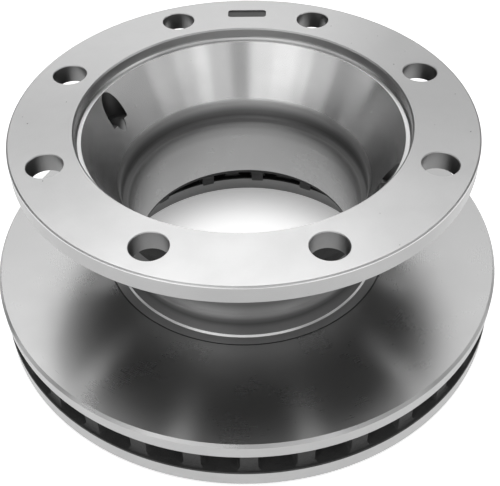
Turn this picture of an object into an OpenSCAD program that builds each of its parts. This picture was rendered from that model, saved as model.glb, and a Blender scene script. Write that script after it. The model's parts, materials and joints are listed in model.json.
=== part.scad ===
// Ventilated brake disc: one iron casting, turned on its flange, bell and friction faces.
// Z is the axis of rotation, z = 0 is the lower friction face it stands on.

/* [Mounting flange] */
// Overall height, lower friction face to flange face
disc_h = 160; // [150:1:175]
// Outer diameter of the flange
flange_od = 320; // [316:1:330]
// Thickness of the flange
flange_t = 13.5; // [11:0.5:15]
// Pitch circle of the wheel bolts
bolt_pcd = 275; // [270:1:280]
// Number of wheel bolts
bolt_n = 8; // [6:1:10]
// Diameter of each wheel bolt hole
bolt_d = 24; // [20:0.5:26]
// Angle of the first wheel bolt hole
bolt_a0 = 22.5; // [0:0.5:45]
// Chamfer on the rim and the bore of the flange
flange_ch = 1; // [0.5:0.1:1.5]
// Chamfer round each wheel bolt hole
bolt_ch = 0.5; // [0.2:0.1:1]

/* [Pilot bore] */
// Diameter of the bore that centres the disc on the hub
pilot_d = 230; // [228:0.5:232]
// Depth of the pilot bore
pilot_t = 9; // [7:0.5:10]
// Chamfer between the pilot bore and the ledge under it
ledge_ch = 1.1; // [0.5:0.1:1.5]
// Diameter where the ledge under the pilot bore ends
ledge_d = 222.4; // [221:0.1:224]
// Fall of the ledge towards the bell
ledge_fall = 0.2; // [0:0.1:0.5]

/* [Bell and neck] */
// Depth of the shelf inside the bell, below the flange face
shelf_drop = 67; // [64:1:70]
// Diameter inside the bell just above the shelf
shelf_d = 180; // [178:1:182]
// Fall of the shelf towards the neck
shelf_fall = 2.6; // [1:0.2:4]
// Height above the shelf where the bell's slope turns upright
slope_foot = 16; // [14:1:20]
// Diameter of the neck's bore below the shelf
neck_d = 169; // [166:1:170]
// Taper of the neck's bore, on diameter
neck_taper = 4; // [2:0.5:5]
// Diameter outside the neck
neck_od = 189; // [187:1:191]
// Diameter of the turned band under the flange
band_d = 239; // [236:1:241]
// Height of the turned band
band_h = 16; // [14:1:18]
// Thickness of the bell's sloping wall, measured level
bell_wall = 11; // [10:0.5:12]
// Height above the shelf of the hip, where the bell leaves the neck outside
hip_rise = 10; // [8:1:14]
// Radius of the hip
hip_round = 22; // [14:1:24]
// Radius of the hollow between the neck and the hip
neck_round = 14; // [8:1:16]
// Radius of the hollow at the neck's foot
foot_round = 5; // [2:0.5:5]
// Height of the cast lip at the lower end of the neck's bore
lip_h = 3.6; // [2:0.2:4]
// Width of the rounded nose between the lip and the air gap
lip_w = 11; // [9:0.5:13]

/* [Friction ring] */
// Outer diameter of the friction ring
ring_od = 375.6; // [372:0.2:380]
// Thickness over both friction faces
ring_t = 45; // [42:1:48]
// Height of the air gap between the two cheeks
gap_h = 18.7; // [16:0.1:20]
// Thickness of the lower cheek
low_cheek_t = 14.5; // [13:0.5:15]
// Inner diameter of the lower friction face
low_bore_d = 222.4; // [220:0.2:226]
// Chamfer on the outer edge of both friction faces
ring_ch = 2; // [1:0.5:3]
// Broken edge on both cheeks where the air gap opens
rim_break = 1; // [0.4:0.1:1.4]
// How much larger the upper cheek is than the lower one, on radius
cheek_step = 0.4; // [0:0.1:1]
// Inner diameter of the upper friction face
face_d = 213.4; // [211:0.2:216]
// Diameter of the neck's foot, where the turned land starts
foot_d = 197; // [195:1:199]
// Depth of the land inside the upper friction face
land_drop = 0.6; // [0.3:0.1:1]
// Width of the groove round the land
groove_w = 1.4; // [1:0.1:2]
// Depth of the groove round the land
groove_t = 1.2; // [1:0.1:1.6]

/* [Cooling vanes] */
// Number of vanes; an odd number leaves two long ones side by side
vane_n = 31; // [25:2:33]
// Thickness of a vane
vane_w = 11.6; // [10:0.2:13]
// Angle of the first vane
vane_a0 = -77; // [-90:0.5:90]
// Radius where the long vanes start
long_r = 107; // [105:0.5:108]
// Radius where the short vanes start
short_r = 114.5; // [113:0.5:125]
// Radius where every vane ends
vane_end_r = 183.8; // [180:0.2:185]
// Radius of the cast fillet along each vane
vane_fillet = 3; // [1.5:0.1:3]
// How far the long vanes hang below the top of the lower cheek
vane_hang = 1.5; // [0.5:0.5:3]

/* [Screw seats] */
// Number of screws that hold the disc to the hub
screw_n = 2; // [1:1:2]
// Pitch circle of the screws
screw_pcd = 202.6; // [201:0.2:204]
// Diameter of each screw hole
screw_d = 11; // [9:0.5:12]
// Diameter of the flat-bottomed seat round each screw
seat_d = 19.6; // [18:0.2:20]
// Depth of the seat below the flange face
seat_drop = 32; // [30:0.5:34]
// Angle of the first screw
screw_a0 = -22.5; // [-45:0.5:45]

/* [Marking recess] */
// Length of the blank recess on the flange
recess_l = 30; // [20:1:34]
// Width of the recess
recess_w = 10.5; // [8:0.5:12]
// Depth of the recess
recess_t = 1.2; // [0.6:0.1:2]
// Radius of the recess's corners
recess_r = 2.5; // [1:0.5:4]
// Distance of the recess from the axis
recess_at = 137.8; // [136:0.2:139]
// Angle of the recess
recess_a = 89.5; // [85:0.5:95]

/* [Hidden] */
eps = 0.01;
vane_sink = 1;
$fn = 96;

cast_iron = "#a9abac";

flange_r = flange_od / 2;
flange_z = disc_h - flange_t;
pilot_r = pilot_d / 2;
pilot_z = disc_h - pilot_t;
bolt_r = bolt_pcd / 2;
screw_r = screw_pcd / 2;
seat_z = disc_h - seat_drop;
shelf_z = disc_h - shelf_drop;
shelf_r = shelf_d / 2;
neck_r = neck_d / 2;
neck_out_r = neck_od / 2;

// friction ring: the lower cheek, the gap with its vanes, the upper cheek
ring_r = ring_od / 2;
low_ring_r = ring_r - cheek_step;
low_bore_r = low_bore_d / 2;
gap_z = low_cheek_t;
up_cheek_z = low_cheek_t + gap_h;
face_r = face_d / 2;
foot_r = foot_d / 2;
groove_z = ring_t - groove_t;
land_z = ring_t - land_drop;

// the bell's inner slope, from the ledge down to the upright wall over the shelf
cone_top = [ledge_d / 2, pilot_z - ledge_fall];
cone_low = [shelf_r - shelf_fall / 4, shelf_z + slope_foot];
cone_slope = (cone_top[0] - cone_low[0]) / (cone_top[1] - cone_low[1]);
function cone_r(z) = cone_low[0] + cone_slope * (z - cone_low[1]);
function cone_out_r(z) = cone_r(z) + bell_wall;

band_r = band_d / 2;
band_z = flange_z - band_h;
band_foot_z = band_z - band_h / 2;
hip_z = shelf_z + hip_rise;
foot_top_z = ring_t + foot_round - groove_t / 2;
neck_low_z = ring_t;
lip_z = neck_low_z - lip_h;

// points along the arc that rounds the corner b between a and c
function unit(v) = v / norm(v);
function turn(u, v) = u[0] * v[1] - u[1] * v[0];
function corner_arc(a, b, c, r, steps = 4) =
    let (u = unit(a - b), v = unit(c - b),
         half = acos(u * v) / 2,
         mid = b + unit(u + v) * r / sin(half),
         from = b + u * r / tan(half),
         sweep = (180 - 2 * half) * (turn(u, v) > 0 ? -1 : 1),
         start = atan2(from[1] - mid[1], from[0] - mid[0]))
    [for (i = [0:steps]) mid + r * [cos(start + sweep * i / steps), sin(start + sweep * i / steps)]];

// an outline of [r, z, corner radius] points, with its corners rounded
function rounded(p) = [for (i = [0:len(p) - 1])
    let (n = len(p), q = p[i], a = p[(i + n - 1) % n], c = p[(i + 1) % n])
    for (pt = q[2] > 0
        ? corner_arc([a[0], a[1]], [q[0], q[1]], [c[0], c[1]], q[2])
        : [[q[0], q[1]]]) pt];

// half section of flange, bell, neck and upper cheek
module upper_section() {
    polygon(rounded([
        // mounting face and pilot bore
        [pilot_r + flange_ch, disc_h, 0],
        [pilot_r, disc_h - flange_ch, 0],
        [pilot_r, pilot_z + ledge_ch, 0],
        [pilot_r - ledge_ch, pilot_z, 0],
        // inside of the bell, shelf and neck
        [cone_top[0], cone_top[1], 0],
        [cone_low[0], cone_low[1], neck_round],
        [shelf_r, shelf_z + rim_break, shelf_fall],
        [neck_r, shelf_z + rim_break - shelf_fall, shelf_fall / 2],
        [neck_r - neck_taper / 2, neck_low_z, 0],
        // cast lip and underside of the upper cheek
        [neck_r - lip_h / 6, lip_z, lip_h / 2],
        [neck_r + lip_w, up_cheek_z, lip_w / 2],
        [ring_r - rim_break / 4, up_cheek_z, 0],
        // rim and upper friction face
        [ring_r, up_cheek_z + rim_break, 0],
        [ring_r, ring_t - ring_ch, 0],
        [ring_r - ring_ch, ring_t, 0],
        [face_r, ring_t, 0],
        // groove, land and foot of the neck
        [face_r, groove_z, 0],
        [face_r - groove_w, groove_z, 0],
        [face_r - groove_w, land_z, 0],
        [foot_r + land_drop, land_z, 0],
        [foot_r - land_drop, ring_t + land_drop, 0],
        [neck_out_r, foot_top_z, foot_round],
        // outside of the neck and the bell
        [neck_out_r, hip_z - neck_round, neck_round],
        [cone_out_r(hip_z), hip_z, hip_round],
        [cone_out_r(band_foot_z), band_foot_z, foot_round],
        [band_r, band_z, 0],
        [band_r, flange_z, foot_round / 2],
        // underside and rim of the flange
        [flange_r - flange_ch, flange_z, 0],
        [flange_r, flange_z + flange_ch, 0],
        [flange_r, disc_h - flange_ch, 0],
        [flange_r - flange_ch, disc_h, 0]
    ]));
}

// half section of the lower cheek
module lower_section() {
    polygon([
        [low_bore_r + rim_break, 0],
        [low_ring_r - ring_ch, 0],
        [low_ring_r, ring_ch],
        [low_ring_r, low_cheek_t - rim_break],
        [low_ring_r - rim_break / 2, low_cheek_t],
        [low_bore_r - lip_h / 2, low_cheek_t],
        [low_bore_r - lip_h / 2 - rim_break / 2, low_cheek_t - rim_break],
        [low_bore_r, rim_break]
    ]);
}

// a cast cove as [out, up] pairs, from just inside the cheek to where it meets the vane
function cove(r, steps) = [for (i = [0:steps])
    i == 0 ? [r, -r * (1 - cos(90 / steps))]
           : [r * (1 - sin(90 * i / steps)), r * (1 - cos(90 * i / steps))]];
function back(list) = [for (i = [len(list) - 1:-1:0]) list[i]];

// section across a vane: a web that flares into the cheeks it joins
module vane_section(on_low_cheek) {
    w = vane_w / 2;
    c = cove(vane_fillet, 3);
    low = on_low_cheek
        ? [for (p = c) [w + p[0], gap_z + p[1]]]
        : [[w, gap_z - vane_hang]];
    high = [for (p = back(c)) [w + p[0], up_cheek_z - p[1]]];
    side = concat(low, high);
    polygon(concat(side, [for (p = back(side)) [-p[0], p[1]]]));
}

// ring that trims the vanes to length, flared at the rim as the webs are
module vane_room(start_r) {
    c = cove(vane_fillet, 2);
    rotate_extrude()
        polygon(concat(
            [[start_r, gap_z - vane_hang - vane_sink]],
            [for (p = c) [vane_end_r + p[0], gap_z + p[1]]],
            [for (p = back(c)) [vane_end_r + p[0], up_cheek_z - p[1]]],
            [[start_r, up_cheek_z + vane_sink]]
        ));
}

// one vane along the X axis; a long one hangs a little inside the lower cheek's bore
module vane(start_r) {
    intersection() {
        rotate([90, 0, 90]) {
            translate([0, 0, low_bore_r]) linear_extrude(ring_r - low_bore_r) vane_section(true);
            if (start_r < low_bore_r) linear_extrude(low_bore_r) vane_section(false);
        }
        vane_room(start_r);
    }
}

// all the vanes, long and short in turn
module vanes() {
    for (i = [0:vane_n - 1])
        rotate([0, 0, vane_a0 + i * 360 / vane_n])
            vane(i % 2 == 0 ? long_r : short_r);
}

// wheel bolt holes, lightly chamfered on the mounting face
module bolt_holes() {
    for (i = [0:bolt_n - 1])
        rotate([0, 0, bolt_a0 + i * 360 / bolt_n]) translate([bolt_r, 0, 0]) {
            translate([0, 0, flange_z - eps]) cylinder(d = bolt_d, h = flange_t + 2 * eps);
            translate([0, 0, disc_h - bolt_ch])
                cylinder(d1 = bolt_d, d2 = bolt_d + 2 * (bolt_ch + eps), h = bolt_ch + eps);
        }
}

// screw holes with flat seats sunk in the bell's slope
module screw_holes() {
    for (i = [0:screw_n - 1])
        rotate([0, 0, screw_a0 + i * 180]) translate([screw_r, 0, 0]) {
            translate([0, 0, seat_z]) cylinder(d = seat_d, h = pilot_z - seat_z);
            translate([0, 0, shelf_z]) cylinder(d = screw_d, h = pilot_z - shelf_z);
        }
}

// rectangle with rounded corners
module rounded_plate(l, w, r) {
    square([l - 2 * r, w], center = true);
    square([l, w - 2 * r], center = true);
    for (s = [-1, 1], t = [-1, 1])
        translate([s * (l / 2 - r), t * (w / 2 - r)]) circle(r = r);
}

// blank recess for a marking
module marking_recess() {
    rotate([0, 0, recess_a]) translate([recess_at, 0, disc_h - recess_t])
        linear_extrude(recess_t + eps) rounded_plate(recess_w, recess_l, recess_r);
}

module brake_disc() {
    color(cast_iron)
        difference() {
            union() {
                rotate_extrude() upper_section();
                rotate_extrude() lower_section();
                vanes();
            }
            bolt_holes();
            screw_holes();
            marking_recess();
        }
}

brake_disc();
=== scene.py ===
# %% [markdown]
# A ventilated brake disc, seen in a product photograph from above its mounting flange.
# The real thing is one iron casting, so this lesson makes one piece: the casting is first
# built as the foundry does it (flange, bell, neck and upper cheek in one turned shape, a
# lower cheek, and straight vanes between them), then cut as the machine shop does it
# (bolt holes, screw seats, a blank marking recess), and last given its finishes.
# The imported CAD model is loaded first. It gives the frame, and its box is kept for later.

# %% Load the frame
import json
import math

import bmesh
import bpy
from mathutils import Matrix, Vector

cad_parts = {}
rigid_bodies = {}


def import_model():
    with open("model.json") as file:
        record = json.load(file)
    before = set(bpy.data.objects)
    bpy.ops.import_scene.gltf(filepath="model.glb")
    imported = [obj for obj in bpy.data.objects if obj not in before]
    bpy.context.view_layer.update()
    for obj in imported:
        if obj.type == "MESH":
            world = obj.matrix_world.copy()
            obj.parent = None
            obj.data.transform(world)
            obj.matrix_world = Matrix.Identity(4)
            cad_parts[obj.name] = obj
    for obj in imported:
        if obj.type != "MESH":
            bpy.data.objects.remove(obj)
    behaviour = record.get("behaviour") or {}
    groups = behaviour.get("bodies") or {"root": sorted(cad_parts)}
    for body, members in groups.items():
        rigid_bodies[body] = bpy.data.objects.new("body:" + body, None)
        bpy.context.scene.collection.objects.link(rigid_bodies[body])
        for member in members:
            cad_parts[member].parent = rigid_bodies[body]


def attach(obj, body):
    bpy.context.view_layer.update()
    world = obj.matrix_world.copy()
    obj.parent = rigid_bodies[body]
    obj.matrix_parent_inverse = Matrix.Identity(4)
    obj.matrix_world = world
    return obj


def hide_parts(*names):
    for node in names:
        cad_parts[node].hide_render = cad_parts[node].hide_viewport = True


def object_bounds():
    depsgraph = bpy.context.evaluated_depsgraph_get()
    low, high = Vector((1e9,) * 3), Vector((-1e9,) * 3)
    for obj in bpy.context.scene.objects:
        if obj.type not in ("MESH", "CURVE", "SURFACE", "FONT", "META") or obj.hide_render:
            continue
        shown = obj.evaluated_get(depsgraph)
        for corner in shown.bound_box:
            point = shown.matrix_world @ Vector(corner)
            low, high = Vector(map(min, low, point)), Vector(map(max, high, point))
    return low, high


for leftover in list(bpy.data.objects):
    bpy.data.objects.remove(leftover)
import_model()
cad_box = [list(corner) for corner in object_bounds()]
print("CAD box in metres:", cad_box)

# %% [markdown]
# Sizes are the real ones, in millimetres, measured up from the lower friction face, so the
# numbers below read like a drawing. Blender works in metres, and MM turns one into the
# other wherever a vertex is made. The height and the width over all come from the frame.
# What belongs together stands on one line with a comment above it, and the heights that
# several parts share are worked out once, underneath.

# %% Sizes of the casting
MM = 0.001

DISC_H = round(cad_box[1][2] / MM, 1)
RING_OD = round(2 * cad_box[1][0] / MM, 1)
# the mounting flange: width and thickness
FLANGE_OD, FLANGE_T = 320, 13.5
# the wheel bolt holes: their circle, number, width, first angle and chamfer
BOLT_PCD, BOLT_N, BOLT_D, BOLT_A0, BOLT_CH = 275, 8, 24, 22.5, 0.5
# the pilot bore and its depth, then the ledge below it: width, chamfer and fall
PILOT_D, PILOT_T, LEDGE_D, LEDGE_CH, LEDGE_FALL = 230, 9, 222.4, 1.1, 0.2
# the shelf under the bell: height, width, rise at its outside and fall at its inside
SHELF_Z, SHELF_D, SHELF_RISE, SHELF_FALL = 93, 180, 1, 1.6
# where the bell's slope ends: how far above the shelf, and how far inside its edge
SLOPE_FOOT, SLOPE_IN = 16, 0.65
# the neck: its bore at the shelf, how much narrower that is at the ring, and its outside
NECK_D, NECK_TAPER, NECK_OD = 169, 4, 189
# outside: the band under the flange, the bell's wall, and the hip's height over the shelf
BAND_D, BAND_H, BELL_WALL, HIP_RISE = 239, 16, 11, 10
# the ring: its height, the air gap, and the lower cheek's thickness and bore
RING_T, GAP_H, LOW_CHEEK_T, LOW_BORE_D = 45, 18.7, 14.5, 222.4
# its chamfer, the friction face's inner edge, the neck's foot, the land and the groove
RING_CH, FACE_D, FOOT_D, LAND_DROP, GROOVE_W, GROOVE_T = 2, 213.4, 197, 0.6, 1.4, 1.2
# the vanes: number, width, width of a nose, first angle, and where long and short ones start
VANE_N, VANE_W, NOSE_W, VANE_A0, LONG_R, SHORT_R = 31, 11.6, 10, -77, 107, 112.5
# where all of them end, their fillet, and how far the long ones hang into the lower bore
VANE_END_R, VANE_FILLET, VANE_HANG = 183.8, 3, 1.5
# the screw holes: distance from the axis, width, width and height of the seat, first angle
SCREW_R, SCREW_D, SEAT_D, SEAT_Z, SCREW_A0 = 101.3, 11, 19.6, 128, -22.5
# the recess: length, width, depth and corners, then distance from the axis and angle
RECESS_L, RECESS_W, RECESS_T, RECESS_R = 30, 10.5, 1.2, 2.5
RECESS_AT, RECESS_A = 137.8, 89.5
BREAK = 1         # how far a sharp turned edge is broken

FLANGE_Z = DISC_H - FLANGE_T
PILOT_Z = DISC_H - PILOT_T
UP_CHEEK_Z = LOW_CHEEK_T + GAP_H
BAND_Z = FLANGE_Z - BAND_H
HIP_Z = SHELF_Z + HIP_RISE
print("flange face at", DISC_H, "mm, air gap from", LOW_CHEEK_T, "to", UP_CHEEK_Z, "mm")

# %% [markdown]
# The camera comes before the looks, because what a bare metal surface shows is what it
# mirrors from that one place. A camera can be worked out from round things: every bolt hole
# and edge of the disc is a circle of known size, and each becomes an ellipse in the picture.
# The place, the three angles and the focal length below make all those ellipses agree.

# %% Camera
IMAGE_W, IMAGE_H = 500, 486
SENSOR = 36
FOCAL_PX = 891.0
CENTRE_PX = (238.77, 236.54)
EYE = Vector((15.51, -497.08, 520.22)) * MM
PITCH, YAW, ROLL = (math.radians(a) for a in (43.60, -2.39, -1.82))

look = Vector((math.sin(YAW) * math.cos(PITCH), math.cos(YAW) * math.cos(PITCH), -math.sin(PITCH)))
level = Vector((math.cos(YAW), -math.sin(YAW), 0))
upright = level.cross(look)
right = level * math.cos(ROLL) + upright * math.sin(ROLL)
up = upright * math.cos(ROLL) - level * math.sin(ROLL)

camera_data = bpy.data.cameras.new("camera")
camera_data.sensor_width = SENSOR
camera_data.lens = FOCAL_PX / IMAGE_W * SENSOR
camera_data.shift_x = (IMAGE_W / 2 - CENTRE_PX[0]) / IMAGE_W
camera_data.shift_y = (CENTRE_PX[1] - IMAGE_H / 2) / IMAGE_W
camera_data.clip_start, camera_data.clip_end = 0.01, 20
camera = bpy.data.objects.new("camera", camera_data)
bpy.context.scene.collection.objects.link(camera)
camera.matrix_world = Matrix((
    (right.x, up.x, -look.x, EYE.x),
    (right.y, up.y, -look.y, EYE.y),
    (right.z, up.z, -look.z, EYE.z),
    (0, 0, 0, 1),
))
bpy.context.scene.camera = camera
print("camera at", [round(v, 3) for v in EYE], "lens", round(camera_data.lens, 1), "mm")

# %% [markdown]
# A turned shape is a half section swept round the axis. The section is given as corners
# of (radius, height, rounding), and a vertex bevel rounds each corner that asks for it.
# Smooth shading spreads a fillet's turn over the whole of the long face beside it, so long
# edges are cut close to their ends: the narrow strip holds the shading, and the face
# behind it stays straight.

# %% Section of a turned shape
HOLD = 0.4        # width of the holding strip beside a corner, in mm
LONG = 4          # an edge longer than this, in mm, gets holding strips
VERY_LONG = 12    # one still longer than this is also divided evenly


def corner_offset(before, corner, after, radius):
    """How far along its edges a corner is cut back to take a fillet of this radius."""
    a = (Vector(before[:2]) - Vector(corner[:2])).normalized()
    b = (Vector(after[:2]) - Vector(corner[:2])).normalized()
    return radius / math.tan(a.angle(b) / 2)


def round_corners(bm, verts, outline, segments):
    """Bevels each vertex of a closed outline by the rounding its corner asks for."""
    for i, v in enumerate(verts):
        if outline[i][2]:
            offset = corner_offset(outline[i - 1], outline[i],
                                   outline[(i + 1) % len(outline)], outline[i][2])
            bmesh.ops.bevel(bm, geom=[v], offset=offset * MM, offset_type="OFFSET",
                            affect="VERTICES", segments=segments, profile=0.5, material=-1)


def divide_long_edges(bm):
    """Cuts long edges close to their ends, and very long ones into even lengths too."""
    for edge in [e for e in bm.edges if e.calc_length() > LONG * MM]:
        for corner in edge.verts[:]:
            share = HOLD * MM / edge.calc_length()
            piece, _ = bmesh.utils.edge_split(edge, corner, share)
            edge = max(edge, piece, key=lambda e: e.calc_length())
    very_long = [e for e in bm.edges if e.calc_length() > VERY_LONG * MM]
    bmesh.ops.subdivide_edges(bm, edges=very_long, cuts=4)


def as_object(bm, name):
    """Puts a bmesh into a new object at the origin."""
    mesh = bpy.data.meshes.new(name)
    bm.to_mesh(mesh)
    bm.free()
    obj = bpy.data.objects.new(name, mesh)
    bpy.context.scene.collection.objects.link(obj)
    print(name, "has", len(mesh.polygons), "faces")
    return obj


# %% [markdown]
# The spin operator does the lathe's work. The section is a closed loop, so the result is a
# closed solid, and use_merge sews its last segment to its first. The number of steps is a
# multiple of both the vanes and the bolt holes, so that each of them meets the segments
# in the same way.

# %% Lathe
STEPS = VANE_N * BOLT_N


def lathe(section, name):
    """A closed solid of revolution from corners of (radius, height, rounding) in mm."""
    bm = bmesh.new()
    verts = [bm.verts.new((r * MM, 0, z * MM)) for r, z, _ in section]
    for i, v in enumerate(verts):
        bm.edges.new((v, verts[(i + 1) % len(verts)]))
    round_corners(bm, verts, section, 6)
    divide_long_edges(bm)
    bmesh.ops.spin(bm, geom=bm.verts[:] + bm.edges[:], cent=(0, 0, 0), axis=(0, 0, 1),
                   dvec=(0, 0, 0), angle=2 * math.pi, steps=STEPS,
                   use_merge=True, use_duplicate=False)
    bmesh.ops.remove_doubles(bm, verts=bm.verts, dist=0.001 * MM)
    bmesh.ops.recalc_face_normals(bm, faces=bm.faces)
    return as_object(bm, name)


print("turned shapes have", STEPS, "segments")

# %% [markdown]
# The upper shape is the whole of the casting above the air gap: mounting flange, pilot bore
# with its narrow ledge, tapering bell, shelf, neck, and the cheek with the upper friction
# face. Its slope is one straight line, so the wall outside follows it at a fixed distance.
# The corners go round once, from the flange face down the inside and up the outside.

# %% Upper casting
cone_top = (LEDGE_D / 2, PILOT_Z - LEDGE_FALL)
cone_low = (SHELF_D / 2 - SLOPE_IN, SHELF_Z + SLOPE_FOOT)
slope = (cone_top[0] - cone_low[0]) / (cone_top[1] - cone_low[1])


def bell_outside(z):
    """Radius of the bell's outer wall at a height."""
    return cone_low[0] + slope * (z - cone_low[1]) + BELL_WALL


bore_side = [
    (PILOT_D / 2 + BREAK, DISC_H, 0),
    (PILOT_D / 2, DISC_H - BREAK, 0),
    (PILOT_D / 2, PILOT_Z + LEDGE_CH, 0),
    (PILOT_D / 2 - LEDGE_CH, PILOT_Z, 0),
    (*cone_top, 0.35),
    (*cone_low, 10),
    (SHELF_D / 2, SHELF_Z + SHELF_RISE, 2.6),
    (NECK_D / 2, SHELF_Z - SHELF_FALL, 3),
    (NECK_D / 2 - NECK_TAPER / 2, RING_T, 0.5),
    (NECK_D / 2 - 0.6, RING_T - 3.6, 1.8),
    (NECK_D / 2 + 11, UP_CHEEK_Z, 5.5),
]
cheek_side = [
    (RING_OD / 2 - 0.25, UP_CHEEK_Z, 0),
    (RING_OD / 2, UP_CHEEK_Z + BREAK, 0),
    (RING_OD / 2, RING_T - RING_CH, 0),
    (RING_OD / 2 - RING_CH, RING_T, 0),
    (FACE_D / 2, RING_T, 0),
    (FACE_D / 2, RING_T - GROOVE_T, 0),
    (FACE_D / 2 - GROOVE_W, RING_T - GROOVE_T, 0),
    (FACE_D / 2 - GROOVE_W, RING_T - LAND_DROP, 0),
    (FOOT_D / 2 + 0.6, RING_T - LAND_DROP, 0),
    (FOOT_D / 2 - 0.6, RING_T + 0.6, 0.3),
]
bell_side = [
    (NECK_OD / 2, RING_T + 4.4, 5),
    (NECK_OD / 2, HIP_Z - 14, 14),
    (bell_outside(HIP_Z), HIP_Z, 22),
    (bell_outside(BAND_Z - 8), BAND_Z - 8, 5),
    (BAND_D / 2, BAND_Z, 0.6),
    (BAND_D / 2, FLANGE_Z, 2.5),
    (FLANGE_OD / 2 - BREAK, FLANGE_Z, 0),
    (FLANGE_OD / 2, FLANGE_Z + BREAK, 0),
    (FLANGE_OD / 2, DISC_H - BREAK, 1.2),
    (FLANGE_OD / 2 - BREAK, DISC_H, 1.2),
]
casting = lathe(bore_side + cheek_side + bell_side, "brake_disc_casting")

# %% [markdown]
# The lower cheek is a plain ring. Its cast inner and outer edges are a touch smaller than
# the upper cheek's and only roughly broken, as the mould leaves them.

# %% Lower cheek
LOW_R = RING_OD / 2 - 0.4
lower = lathe([
    (LOW_BORE_D / 2 + BREAK, 0, 0),
    (LOW_R - RING_CH, 0, 0),
    (LOW_R, RING_CH, 0),
    (LOW_R, LOW_CHEEK_T - BREAK, 0),
    (LOW_R - 0.5, LOW_CHEEK_T, 0),
    (LOW_BORE_D / 2 - 1.8, LOW_CHEEK_T, 0),
    (LOW_BORE_D / 2 - 2.3, LOW_CHEEK_T - BREAK, 0),
    (LOW_BORE_D / 2, BREAK, 0),
], "lower_cheek")

# %% [markdown]
# A vane is a straight web that flares into both cheeks with a cast fillet. The same kind of
# outline as the lathe's, with two rounded inner corners on each side, is filled, extruded
# outwards and turned to its place. Every second vane starts nearer the axis and hangs a
# little inside the lower cheek's bore, where it is narrower; the odd number leaves two
# long ones side by side.

# %% Vanes
SINK = 0.15       # how far a fillet starts inside the cheek, so that surfaces cross cleanly
ROOT = 1          # how deep a vane's root reaches into the cheek
WIDE = VANE_W / 2 + VANE_FILLET + 1


def web_outline(on_low_cheek):
    """Half outline of a vane as (sideways, height, rounding), from bottom to top."""
    half = (VANE_W if on_low_cheek else NOSE_W) / 2
    foot = [(WIDE, LOW_CHEEK_T - ROOT, 0), (WIDE, LOW_CHEEK_T - SINK, 0),
            (half, LOW_CHEEK_T - SINK, VANE_FILLET)]
    plain = [(half, LOW_CHEEK_T - VANE_HANG, 0.8)]
    head = [(half, UP_CHEEK_Z + SINK, VANE_FILLET),
            (WIDE, UP_CHEEK_Z + SINK, 0), (WIDE, UP_CHEEK_Z + ROOT, 0)]
    return (foot if on_low_cheek else plain) + head


def webs(name, on_low_cheek, x0, x1, first_angle, count):
    """Vanes from radius x0 to x1: one is extruded, then copied round at every second place."""
    half = web_outline(on_low_cheek)
    outline = half + [(-y, z, r) for y, z, r in reversed(half)]
    bm = bmesh.new()
    verts = [bm.verts.new((x0 * MM, y * MM, z * MM)) for y, z, _ in outline]
    for i, v in enumerate(verts):
        bm.edges.new((v, verts[(i + 1) % len(verts)]))
    round_corners(bm, verts, outline, 5)
    end = bmesh.ops.contextual_create(bm, geom=bm.edges[:])["faces"]
    grown = bmesh.ops.extrude_face_region(bm, geom=end)["geom"]
    far = [v for v in grown if isinstance(v, bmesh.types.BMVert)]
    bmesh.ops.translate(bm, verts=far, vec=((x1 - x0) * MM, 0, 0))
    bmesh.ops.rotate(bm, verts=bm.verts, cent=(0, 0, 0),
                     matrix=Matrix.Rotation(math.radians(first_angle), 3, "Z"))
    pitch = 2 * math.radians(PITCH_DEG)
    bmesh.ops.spin(bm, geom=bm.verts[:] + bm.edges[:] + bm.faces[:], cent=(0, 0, 0),
                   axis=(0, 0, 1), dvec=(0, 0, 0), angle=pitch * (count - 1),
                   steps=count - 1, use_duplicate=True)
    bmesh.ops.recalc_face_normals(bm, faces=bm.faces)
    return as_object(bm, name)


EDGE_R = LOW_BORE_D / 2 + 1
END_R = VANE_END_R + VANE_FILLET
PITCH_DEG = 360 / VANE_N
N_LONG = (VANE_N + 1) // 2
long_vanes = webs("long_vanes", True, EDGE_R, END_R + 0.5, VANE_A0, N_LONG)
noses = webs("long_vane_noses", False, LONG_R, EDGE_R + 2, VANE_A0, N_LONG)
short_vanes = webs("short_vanes", True, SHORT_R, END_R + 0.5, VANE_A0 + PITCH_DEG,
                   VANE_N - N_LONG)

# %% [markdown]
# Boolean modifiers join and cut the solids. Each is applied at once, by taking the mesh
# that the modifier makes, so no live modifier is left on the finished piece. The vanes are
# first trimmed by a turned room with coved corners, which rounds their outer ends into
# both cheeks.

# %% Join the cheeks and vanes
def combine(body, tool, operation):
    """Applies a boolean to body and deletes the tool."""
    step = body.modifiers.new(operation.lower(), "BOOLEAN")
    step.object, step.operation, step.solver = tool, operation, "MANIFOLD"
    depsgraph = bpy.context.evaluated_depsgraph_get()
    made = bpy.data.meshes.new_from_object(body.evaluated_get(depsgraph))
    body.modifiers.clear()
    old, body.data = body.data, made
    bpy.data.meshes.remove(old)
    bpy.data.objects.remove(tool)
    print(operation.lower(), "leaves", len(made.polygons), "faces")


ROOM_R = LONG_R - 5
ROOM_OVER = 3     # how far the room reaches into both cheeks
COVE = VANE_FILLET * 0.9
room_section = [
    (ROOM_R, LOW_CHEEK_T - ROOM_OVER, 0),
    (END_R, LOW_CHEEK_T - ROOM_OVER, 0),
    (END_R, LOW_CHEEK_T - SINK, 0),
    (VANE_END_R, LOW_CHEEK_T - SINK, COVE),
    (VANE_END_R, UP_CHEEK_Z + SINK, COVE),
    (END_R, UP_CHEEK_Z + SINK, 0),
    (END_R, UP_CHEEK_Z + ROOM_OVER, 0),
    (ROOM_R, UP_CHEEK_Z + ROOM_OVER, 0),
]
for vanes in (long_vanes, short_vanes):
    combine(vanes, lathe(room_section, "vane_room"), "INTERSECT")
for part in (lower, long_vanes, short_vanes, noses):
    combine(casting, part, "UNION")

# %% [markdown]
# Drilling is a boolean difference with cutters shaped like the tools: each wheel bolt drill
# ends in a countersink, each screw seat is a flat-bottomed cylinder over a smaller drill.

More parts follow.
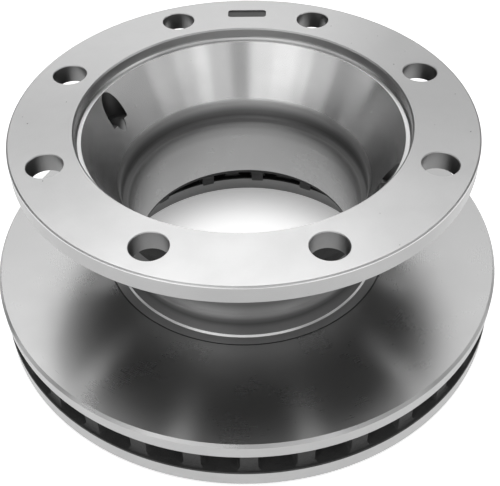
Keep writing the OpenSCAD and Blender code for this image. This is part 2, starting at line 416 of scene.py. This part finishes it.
# %% Drill the holes
CLEAR = 1         # how far a cutter stands out of the surface that it cuts


def drill(bm, radii, low, high, at, angle, segments=64):
    """A cylinder or cone in mm, with its lower and upper radius, from low to high.

    It stands at a distance and an angle from the casting's axis.
    """
    turn = Matrix.Rotation(math.radians(angle), 4, "Z")
    place = turn @ Matrix.Translation((at * MM, 0, (low + high) / 2 * MM))
    bmesh.ops.create_cone(bm, cap_ends=True, segments=segments, radius1=radii[0] * MM,
                          radius2=radii[1] * MM, depth=(high - low) * MM, matrix=place)


bolts, sinks, screws, seats = (bmesh.new() for _ in range(4))
for k in range(BOLT_N):
    angle = BOLT_A0 + k * 360 / BOLT_N
    drill(bolts, (BOLT_D / 2, BOLT_D / 2), FLANGE_Z - CLEAR, DISC_H + CLEAR, BOLT_PCD / 2, angle)
    drill(sinks, (BOLT_D / 2, BOLT_D / 2 + BOLT_CH + 0.1), DISC_H - BOLT_CH, DISC_H + 0.1,
          BOLT_PCD / 2, angle)
for angle in (SCREW_A0, SCREW_A0 + 180):
    drill(screws, (SCREW_D / 2, SCREW_D / 2), SHELF_Z, SEAT_Z + CLEAR, SCREW_R, angle, 48)
    drill(seats, (SEAT_D / 2, SEAT_D / 2), SEAT_Z, PILOT_Z, SCREW_R, angle)
for bm, name in ((bolts, "bolt_drill"), (sinks, "bolt_countersink"),
                 (screws, "screw_drill"), (seats, "seat_cutter")):
    combine(casting, as_object(bm, name), "DIFFERENCE")

# %% [markdown]
# The marking recess is milled with a small end mill, so its corners are round. A cube is
# scaled to the plate that the mill clears, and its upright edges are bevelled.

# %% Mill the recess
plate = bmesh.new()
bmesh.ops.create_cube(plate, size=1)
bmesh.ops.scale(plate, verts=plate.verts, vec=(RECESS_W * MM, RECESS_L * MM, 2 * RECESS_T * MM))
uprights = [e for e in plate.edges if abs(e.verts[0].co.z - e.verts[1].co.z) > RECESS_T * MM]
bmesh.ops.bevel(plate, geom=uprights, offset=RECESS_R * MM, offset_type="OFFSET",
                affect="EDGES", segments=8, profile=0.5, material=-1)
bmesh.ops.translate(plate, verts=plate.verts, vec=(RECESS_AT * MM, 0, DISC_H * MM))
bmesh.ops.rotate(plate, verts=plate.verts, cent=(0, 0, 0),
                 matrix=Matrix.Rotation(math.radians(RECESS_A), 3, "Z"))
combine(casting, as_object(plate, "recess_cutter"), "DIFFERENCE")

# %% [markdown]
# The casting now takes the place of the CAD model's one node and rides on its one body.
# Faces that meet at less than a small angle are shaded as one curve, the others as edges.

# %% Place the casting in the frame
SHARP_ANGLE = 25
mesh = casting.data
mesh.shade_smooth()
mesh.set_sharp_from_angle(angle=math.radians(SHARP_ANGLE))
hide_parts("brake_disc")
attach(casting, "root")
triangles = sum(len(p.vertices) - 2 for p in mesh.polygons)
print("casting:", len(mesh.polygons), "faces,", triangles, "triangles")

# %% [markdown]
# From here on it is all finish. A shader is a network of small nodes; written node by node
# it is long, so one class wraps a socket and lets Python's own operators build the Math
# nodes. Anything else is made by make(), which sets a node's options first and its inputs
# after, from plain values or from other wires.

# %% Wires
class Wire:
    """An output socket that can be added, multiplied and compared like a number."""

    def __init__(self, tree, socket):
        self.tree, self.socket = tree, socket

    def math(self, operation, *inputs, **options):
        return make(self.tree, "ShaderNodeMath", {"operation": operation, **options},
                    dict(enumerate(inputs)))

    def __add__(self, other):
        return self.math("ADD", self, other)

    def __sub__(self, other):
        return self.math("SUBTRACT", self, other)

    def __rsub__(self, other):
        return self.math("SUBTRACT", other, self)

    def __mul__(self, other):
        return self.math("MULTIPLY", self, other)

    def __truediv__(self, other):
        return self.math("DIVIDE", self, other)

    def __pow__(self, power):
        return self.math("POWER", self, power)

    __radd__, __rmul__ = __add__, __mul__

    def clamp(self):
        return self.math("ADD", self, 0, use_clamp=True)

    def step(self, low, high):
        """0 below low, 1 above high, and a smooth rise between them."""
        return make(self.tree, "ShaderNodeMapRange",
                    {"interpolation_type": "SMOOTHSTEP"}, {0: self, 1: low, 2: high})


def make(tree, kind, options=None, inputs=None, output=0, stops=()):
    """A new node, with its options set before its inputs; returns one output as a Wire.

    A number is taken as it is, and a closing node has no output and gives None.
    """
    node = tree.nodes.new(kind)
    for name, value in (options or {}).items():
        setattr(node, name, value)
    if stops:
        elements = node.color_ramp.elements
        while len(elements) < len(stops):
            elements.new(1)
        for i, (place, value) in enumerate(stops):
            elements[i].position, elements[i].color = place, grey(value)
    for name, value in (inputs or {}).items():
        if isinstance(value, Wire):
            tree.links.new(value.socket, node.inputs[name])
        else:
            node.inputs[name].default_value = value
    return Wire(tree, node.outputs[output]) if node.outputs else None


def grey(value):
    return (value, value, value, 1)


# %% [markdown]
# A few helpers stand on make(): a ramp through stops, a mix of two colours, a noise, the
# three numbers of a vector, and a new material with a shader at its end.

# %% Shader helpers
def ramp(tree, wire, stops):
    """A grey ramp through (place, value) stops."""
    return make(tree, "ShaderNodeValToRGB", inputs={0: wire}, stops=stops)


def mix_colour(tree, share, first, second):
    return make(tree, "ShaderNodeMix", {"data_type": "RGBA"},
                {"Factor": share, 6: first, 7: second}, 2)


def noise(tree, vector, scale, detail=2, rough=0.5):
    return make(tree, "ShaderNodeTexNoise", inputs={
        "Vector": vector, "Scale": scale, "Detail": detail, "Roughness": rough})


def numbers(tree, vector):
    """The three numbers of a vector, as three wires."""
    split = make(tree, "ShaderNodeSeparateXYZ", inputs={0: vector})
    return [Wire(tree, out) for out in split.socket.node.outputs]


def new_material(name):
    material = bpy.data.materials.new(name)
    material.use_nodes = True
    tree = material.node_tree
    tree.nodes.clear()
    return material, tree


def finish_material(tree, shader_inputs):
    """Closes a material with the shader that every finish of the casting uses."""
    surface = make(tree, "ShaderNodeBsdfPrincipled", inputs=shader_inputs)
    make(tree, "ShaderNodeOutputMaterial", inputs={"Surface": surface})


# %% [markdown]
# Patterns are drawn in Object coordinates, turned into millimetres. Every mark that a lathe
# leaves is a ring round the axis, so those patterns need two numbers only: the distance
# from the axis and the height. On a flat face the rings follow the first, on a bore the
# second, and on the bell's slope both.

# %% Places on the casting
def in_mm(tree):
    """Object coordinates in millimetres."""
    point = make(tree, "ShaderNodeTexCoord", output="Object")
    return make(tree, "ShaderNodeVectorMath", {"operation": "SCALE"}, {0: point, 3: 1 / MM})


def radius_and_height(tree, mm):
    x, y, z = numbers(tree, mm)
    return (x * x + y * y) ** 0.5, z


# %% [markdown]
# A freshly turned iron face is bright but not a mirror. Its grooves run round the axis, so
# it blurs a reflection along the radius far more than round it: that is the Anisotropic
# value, and a quarter turn points the blur across the grooves. Fine rings, faint handling
# clouds and a few dark pores break up the tone. Deep in the casting, at the foot of the
# bell and of the neck, a finish is painted darker there, a painted shade and painted
# reflection of the casting's dark inside, and a duller band from the tool makes it rougher.
# Both come back without an edge.

# %% Turned iron
def turned(name, tone, gloss, stretch=0.75, rings=0.25, clouds=0.04, pores=0.5, painted_shade=None):
    """Metal with turning rings; the last argument is a list of (height in mm, share of the tone).

    At those heights the tone is painted darker, a painted shade and painted reflection of the
    casting's dark inside, and the metal is made rougher.
    """
    material, tree = new_material(name)
    mm = in_mm(tree)
    radius, z = radius_and_height(tree, mm)
    ring = make(tree, "ShaderNodeCombineXYZ", inputs={0: radius, 1: z})
    fine = noise(tree, ring, 2.2, 3, 0.7) - 0.5
    grain = noise(tree, mm, 0.9, 3, 0.6) - 0.5
    cloud = noise(tree, mm, 0.03, 4, 0.6).step(0.3, 0.7) - 0.5
    cell = make(tree, "ShaderNodeTexVoronoi", {"feature": "F1"},
                {"Vector": mm, "Scale": 0.11, "Randomness": 1.0}, "Distance")
    here_and_there = noise(tree, mm, 0.06, 1, 0.5).step(0.52, 0.6)
    pore = (1 - cell.step(0.035, 0.07)) * here_and_there * pores
    light = (1 - clouds * cloud - 0.04 * grain - rings * 0.3 * fine) * (1 - 0.75 * pore)
    rough = gloss + clouds * cloud + rings * 0.15 * fine + 0.3 * pore
    if painted_shade:
        # painted shade and painted reflection: the tone is darkened at these heights, and the
        # roughness rises with it
        share = ramp(tree, z / DISC_H, [(at / DISC_H, value) for at, value in painted_shade])
        light, rough = light * share, rough + 0.42 * (1 - share) ** 0.5
    # the factor is halved and its far colour doubled, so that a light above 1 counts too
    base = mix_colour(tree, (light * 0.5).clamp(), grey(0), grey(tone * 2))
    bump = make(tree, "ShaderNodeBump", inputs={
        "Strength": 0.08, "Distance": 0.2 * MM, "Height": fine * rings - pore})
    finish_material(tree, {
        "Base Color": base, "Roughness": rough, "Metallic": 1.0, "Normal": bump,
        "Anisotropic": stretch, "Anisotropic Rotation": 0.25})
    return material


# %% [markdown]
# Skin that no tool has touched is dull, dark and rough: it has no rings, only the grain of
# the sand mould in three sizes, with lighter rubbed spots on the high ones.

# %% Cast skin
def cast(name, tone, gloss, grain=1.0, metal=0.6):
    """Cast iron as it leaves the mould; grain is the strength of the relief."""
    material, tree = new_material(name)
    mm = in_mm(tree)
    sand = noise(tree, mm, 0.9, 5, 0.7)
    lumps = noise(tree, mm, 0.18, 3, 0.5)
    stain = noise(tree, mm, 0.03, 3, 0.5).step(0.35, 0.65)
    light = 0.75 + 0.5 * (sand - 0.5) + 0.35 * (lumps - 0.5) - 0.2 * (stain - 0.5)
    base = mix_colour(tree, light.clamp(), grey(tone * 0.4), grey(tone * 1.4))
    bump = make(tree, "ShaderNodeBump", inputs={
        "Strength": 0.5 * grain, "Distance": 0.8 * MM, "Height": sand + lumps * 1.5})
    finish_material(tree, {
        "Base Color": base, "Roughness": gloss + 0.25 * (sand - 0.5), "Metallic": metal,
        "Normal": bump})
    return material


# %% [markdown]
# Nineteen finishes cover the casting. The brightness of the metal is its first number, how
# far it blurs is the second, and the third says how much the grooves stretch that blur.
# The ground and bored faces are even, the faced flange has its pores, and the broken edges
# are given the brightest tone, a painted glint.

# %% Finishes
# heights in mm with the share of the tone left there: painted shade and painted reflection of the
# casting's dark inside
BELL_PAINTED_SHADE = [(95, 0.36), (97, 0.32), (101, 0.4), (104, 0.58), (107, 0.82), (110, 0.96), (112, 1)]
NECK_PAINTED_SHADE = [(46, 0.5), (49, 0.44), (53, 0.28), (57, 0.44), (62, 1), (65, 0.9), (72, 0.5)]
BORE_PAINTED_SHADE = [(80, 1), (86, 0.94), (90, 0.76), (93, 0.5)]
finishes = {
    "flange_face": turned("flange_face", 0.66, 0.36, 0.6, pores=0.9),
    "flange_rim": turned("flange_rim", 0.46, 0.32, 0.5),
    "ring_rim": turned("ring_rim", 0.54, 0.34, 0.5, pores=0.1),
    "friction_face": turned("friction_face", 0.5, 0.28, 0.72, clouds=0.015, pores=0, rings=0.1),
    "pilot_wall": turned("pilot_wall", 0.46, 0.28, 0.8, clouds=0.01, pores=0, rings=0.1),
    "bell_slope": turned("bell_slope", 0.62, 0.26, 0.88, clouds=0.02, pores=0.2, rings=0.15,
                         painted_shade=BELL_PAINTED_SHADE),
    "shelf": turned("shelf", 0.23, 0.55, 0.75, clouds=0.02, pores=0.1),
    "neck_bore": turned("neck_bore", 0.48, 0.28, 0.8, clouds=0.02, pores=0.1, rings=0.12,
                        painted_shade=BORE_PAINTED_SHADE),
    "turned_neck": turned("turned_neck", 0.5, 0.32, 0.7, clouds=0.02, pores=0.1, painted_shade=NECK_PAINTED_SHADE),
    "land": turned("land", 0.66, 0.36, 0.6, clouds=0.02, pores=0.1, rings=0.1),
    "groove": turned("groove", 0.2, 0.5, 0.3),
    # painted glint: the broken edges get the lightest tone, for the highlight that they catch
    "lip": turned("lip", 0.85, 0.3, 0.3, pores=0),
    "hole_wall": turned("hole_wall", 0.26, 0.4, 0.3),
    "cheek_bore": turned("cheek_bore", 0.46, 0.45, 0.4),
    "recess": cast("recess", 0.12, 0.6, 0.6),
    # the seats' dark tone is painted shade, for the shade that falls in them
    "screw_seat": turned("screw_seat", 0.10, 0.5, 0.2),
    "cast_skin": cast("cast_skin", 0.04, 0.7, 0.5),
    "air_gap": cast("air_gap", 0.06, 0.75, 1.2, metal=0.3),
    # the vanes' noses are the air gap's cast finish with a lighter tone: painted light, where they
    # are lit more near the bore
    "vane_nose": cast("vane_nose", 0.17, 0.7, 1.2, metal=0.3),
}
print(len(finishes), "finishes:", ", ".join(finishes))

# %% [markdown]
# The finishes go on by place, as they come about on the machine. A face gets its slot from
# the radius and height of its middle and from up, the rise of its normal: 1 on a level
# face, 0 on an upright wall. The areas are asked in turn, and the first that knows the
# face gives its finish. The flange and the two screw seats come first.

# %% Finishes of the flange and the screw seats
NEAR = 0.1        # how far a face's middle may lie from the size that it is known by
EDGE_DEPTH = 1.3  # how far down the rounded edge of the flange reaches
FLOOR_DEPTH = 0.3  # how far under a seat's floor its finish still goes
OUT_DEPTH = 12    # how far under the seat a screw hole comes out of the bell
SCREW_PLACES = [Matrix.Rotation(math.radians(a), 2) @ Vector((SCREW_R, 0))
                for a in (SCREW_A0, SCREW_A0 + 180)]


def flange_finish(r, x, y, z, up):
    at_top = z > DISC_H - EDGE_DEPTH
    if r > PILOT_D / 2 - 2 and at_top and up > 0.5:
        in_recess = z < DISC_H - RECESS_T + NEAR and y > 0 and abs(x) < RECESS_L
        return "recess" if in_recess else "flange_face"
    if z > FLANGE_Z - NEAR and r > FLANGE_OD / 2 - 1.5:
        # the flange's rounded top edge gets the painted glint
        return "lip" if at_top and up > 0.1 else "flange_rim"
    return "hole_wall" if z > FLANGE_Z + NEAR and r > PILOT_D / 2 + 2 else None


def screw_finish(x, y, z, up):
    """The walls and floors of both screw seats, but not the slope that they cut.

    Where a screw hole comes out of the bell its wall lies in the shade, as a seat does, and
    both are given a dark tone of painted shade.
    """
    away = min((Vector((x, y)) - place).length for place in SCREW_PLACES)
    flat = abs(up) < 0.1 or up > 0.98
    if not (SHELF_Z + 1 < z < PILOT_Z and away < SEAT_D / 2 + NEAR and flat):
        return None
    in_hole = SEAT_Z - OUT_DEPTH <= z <= SEAT_Z - FLOOR_DEPTH
    return "hole_wall" if in_hole else "screw_seat"


# %% [markdown]
# The rest is told apart by radius and height, and by the rise of the normal only where a
# level face and an upright wall come close: at the groove, the land and the cheek's edge.

# %% Finishes outside, in the bore and on the cheeks
def outside_finish(r, z, up):
    """The bell and neck outside, the neck's foot and the upper friction face."""
    groove_in = FACE_D / 2 - GROOVE_W
    if z > RING_T + 1 and r > NECK_OD / 2 - 2 and r > bell_outside(z) - 3:
        return "turned_neck" if z < SHELF_Z else "cast_skin"
    # the thin bright line at the neck's foot is a painted glint
    if NECK_OD / 2 < r < FOOT_D / 2 + 0.8 and RING_T - LAND_DROP < z < RING_T + 6:
        return "lip" if z < RING_T + 0.65 else "turned_neck"
    if groove_in - NEAR < r < FACE_D / 2 + 0.05 and -GROOVE_T - NEAR < z - RING_T < -0.01:
        return "groove"
    if r < groove_in + 0.05 and RING_T - GROOVE_T < z < RING_T and up > 0.9:
        return "land"
    if z < RING_T + 1 and r > NECK_OD / 2 and (up > 0.3 or z > RING_T - GROOVE_T - NEAR):
        return "friction_face" if z > RING_T - 3 else "air_gap"
    return None


def bore_finish(r, z):
    """The pilot bore, ledge, slope, shelf and neck bore, from the top down."""
    if z <= RING_T:
        return None
    if z <= SHELF_Z - 1 or r <= NECK_D / 2 + 1.7:
        return "neck_bore"
    # the ledge line under the pilot wall gets the painted glint
    inside = ((PILOT_Z + LEDGE_CH, "pilot_wall"), (PILOT_Z - 0.3, "lip"),
              (SHELF_Z + 4, "bell_slope"))
    return next((name for low, name in inside if z > low), "shelf")


def cheek_finish(r, z):
    """The rims of both cheeks, the underside and everything in the air gap."""
    if r > RING_OD / 2 - 3 and (z > UP_CHEEK_Z or z < LOW_CHEEK_T):
        return "ring_rim"
    if z < NEAR:
        return "friction_face"
    if z < LOW_CHEEK_T - 1 and r < LOW_BORE_D / 2 + 2:
        return "cheek_bore"
    # the noses near the bore get the lighter tone, painted light
    at_nose = z < UP_CHEEK_Z - 1 and LONG_R - 1 < r < SHORT_R + 2
    return "vane_nose" if at_nose else "air_gap"


def finish_at(x, y, z, up):
    """The name of the finish for a face whose middle is at x, y, z in mm."""
    r = math.hypot(x, y)
    return (flange_finish(r, x, y, z, up) or screw_finish(x, y, z, up)
            or outside_finish(r, z, up) or bore_finish(r, z) or cheek_finish(r, z))


# %% [markdown]
# Each finish becomes one material slot of the casting, and each face is asked once.

# %% Give the faces their finish
names = list(finishes)
mesh.materials.clear()
for name in names:
    mesh.materials.append(finishes[name])
tally = dict.fromkeys(names, 0)
for face in mesh.polygons:
    middle = face.center / MM
    name = finish_at(middle.x, middle.y, middle.z, face.normal.z)
    face.material_index = names.index(name)
    tally[name] += 1
print("faces by finish:", tally)

# %% [markdown]
# The studio is a pale floor in a room drawn by the world. The floor is lit like any
# surface, so it keeps the disc's shadow, and a little light of its own brings it near the
# white of the background. That light is for the camera and for what the metal mirrors.
# Inside the bore it sinks towards the wall, a painted shadow where the real floor lies in the
# casting's shade, and it stays low under the ring.

# %% Floor
SINKS = (60, 118)     # radii in mm between which the floor's own light sinks
RETURNS = (184, 190)  # radii at the ring's edge between which it comes back
floor_mesh = bmesh.new()
bmesh.ops.create_circle(floor_mesh, cap_ends=True, segments=64, radius=6)
floor = as_object(floor_mesh, "floor")
material, tree = new_material("floor")
radius, _ = radius_and_height(tree, in_mm(tree))
# painted shadow: the floor's own light is lowered in the bore and under the ring
painted_shadow = radius.step(*SINKS) * (1 - radius.step(*RETURNS))
to_camera = make(tree, "ShaderNodeLightPath", output="Is Camera Ray")
mirrored = make(tree, "ShaderNodeLightPath", output="Is Glossy Ray")
seen = to_camera * (0.85 - 0.55 * painted_shadow) + mirrored * (0.55 - 0.45 * painted_shadow)
lit = make(tree, "ShaderNodeBsdfDiffuse", inputs={"Color": grey(0.85)})
glow = make(tree, "ShaderNodeEmission", inputs={"Color": seen, "Strength": 1})
both = make(tree, "ShaderNodeAddShader", inputs={0: lit, 1: glow})
make(tree, "ShaderNodeOutputMaterial", inputs={"Surface": both})
floor.data.materials.append(material)

# %% [markdown]
# Bare metal shows its surroundings, so the room is drawn with care, and needs no lamps. It
# is dark but for its soft boxes: wide ones overhead and at the back, which the flange and
# the friction face mirror, low ones on both sides of the camera, which make the bands of
# light in the bell with a dark one where the camera stands, and two at the sides for
# the edges. Each is a patch of sky given by where it lies and how far it reaches, in
# degrees. Low boxes that meet share their edge, so that no stripe shows between them.

# %% Soft boxes
SOFT_BOXES = [    # name, towards, half width, from height, to height, brightness
    ("overhead", 90, 100, 66, 100, 0.8),
    ("overhead, back", 92, 46, 66, 100, 0.85),
    ("back, high", 98, 52, 54, 66, 1.9),
    ("back, middle", 94, 42, 44, 54, 1.45),
    ("back, middle strip", 97, 15, 44, 54, 1.0),
    ("back wall", 90, 40, 35, 44, 0.9),
    ("back wall, left part", 120, 13, 28, 35, 0.75),
    ("back wall, right part", 60, 12, 28, 35, 0.7),
    ("back, low strip", 97, 15, 16, 28, 1.15),
    ("left, high", 174, 24, 36, 58, 0.55),
    ("front left, high", 225, 22, 44, 66, 0.8),
    ("front right, high", 315, 22, 44, 66, 0.58),
    ("behind the camera, high", 268, 22, 44, 62, 1.0),
    ("above the camera", 268, 40, 25, 35, 1.6),
    ("low, left of the camera", 233.5, 12.5, 4, 26, 1.9),
    ("low, beside the camera, left", 255.5, 9.5, 4, 26, 1.5),
    ("low, further left", 211, 11, 6, 24, 1.5),
    ("low, beside the camera, right", 288.5, 8.5, 4, 26, 0.75),
    ("low, right of the camera", 308.5, 11.5, 4, 26, 1.6),
    ("low, further right", 331, 11, 6, 24, 1.3),
    ("right edge", 2, 20, -3, 20, 0.8),
    ("right, high", 6, 24, 36, 58, 0.8),
    ("left edge", 184, 15, -3, 16, 1.1),
]
EDGE = 3          # softness of a box's edges, in degrees

world = bpy.data.worlds.new("room")
bpy.context.scene.world = world
world.use_nodes = True
tree = world.node_tree
tree.nodes.clear()
east, north, height = numbers(tree, make(tree, "ShaderNodeTexCoord", output="Generated"))
flat = (east * east + north * north + 0.0001) ** 0.5


def past(wire, degrees, turn):
    """Soft step where the wire passes the sine or cosine of an angle."""
    low, high = sorted(turn(math.radians(degrees + d)) for d in (-EDGE, EDGE))
    return wire.step(low, high)


def soft_box(towards, half_width, low, high, brightness):
    """The brightness of one box over the whole sky."""
    box = past(height, low, math.sin)
    if high < 90:
        box = box * (1 - past(height, high, math.sin))
    a = math.radians(towards)
    along = (east * math.cos(a) + north * math.sin(a)) / flat
    return box * past(along, half_width, math.cos) * brightness


sky = sum(soft_box(*patch) for _, *patch in SOFT_BOXES)
print(len(SOFT_BOXES), "soft boxes in", len(tree.nodes), "nodes")

# %% [markdown]
# The camera sees plain white where the metal sees the room: Is Camera Ray picks between
# the two, and a strength of 1 is white.

# %% Room light
to_camera = make(tree, "ShaderNodeLightPath", output="Is Camera Ray")
light = make(tree, "ShaderNodeBackground",
             inputs={"Color": grey(1), "Strength": to_camera + (1 - to_camera) * sky})
make(tree, "ShaderNodeOutputWorld", inputs={"Surface": light})
bpy.context.scene.view_settings.view_transform = "Standard"
print("room drawn, view transform", bpy.context.scene.view_settings.view_transform)
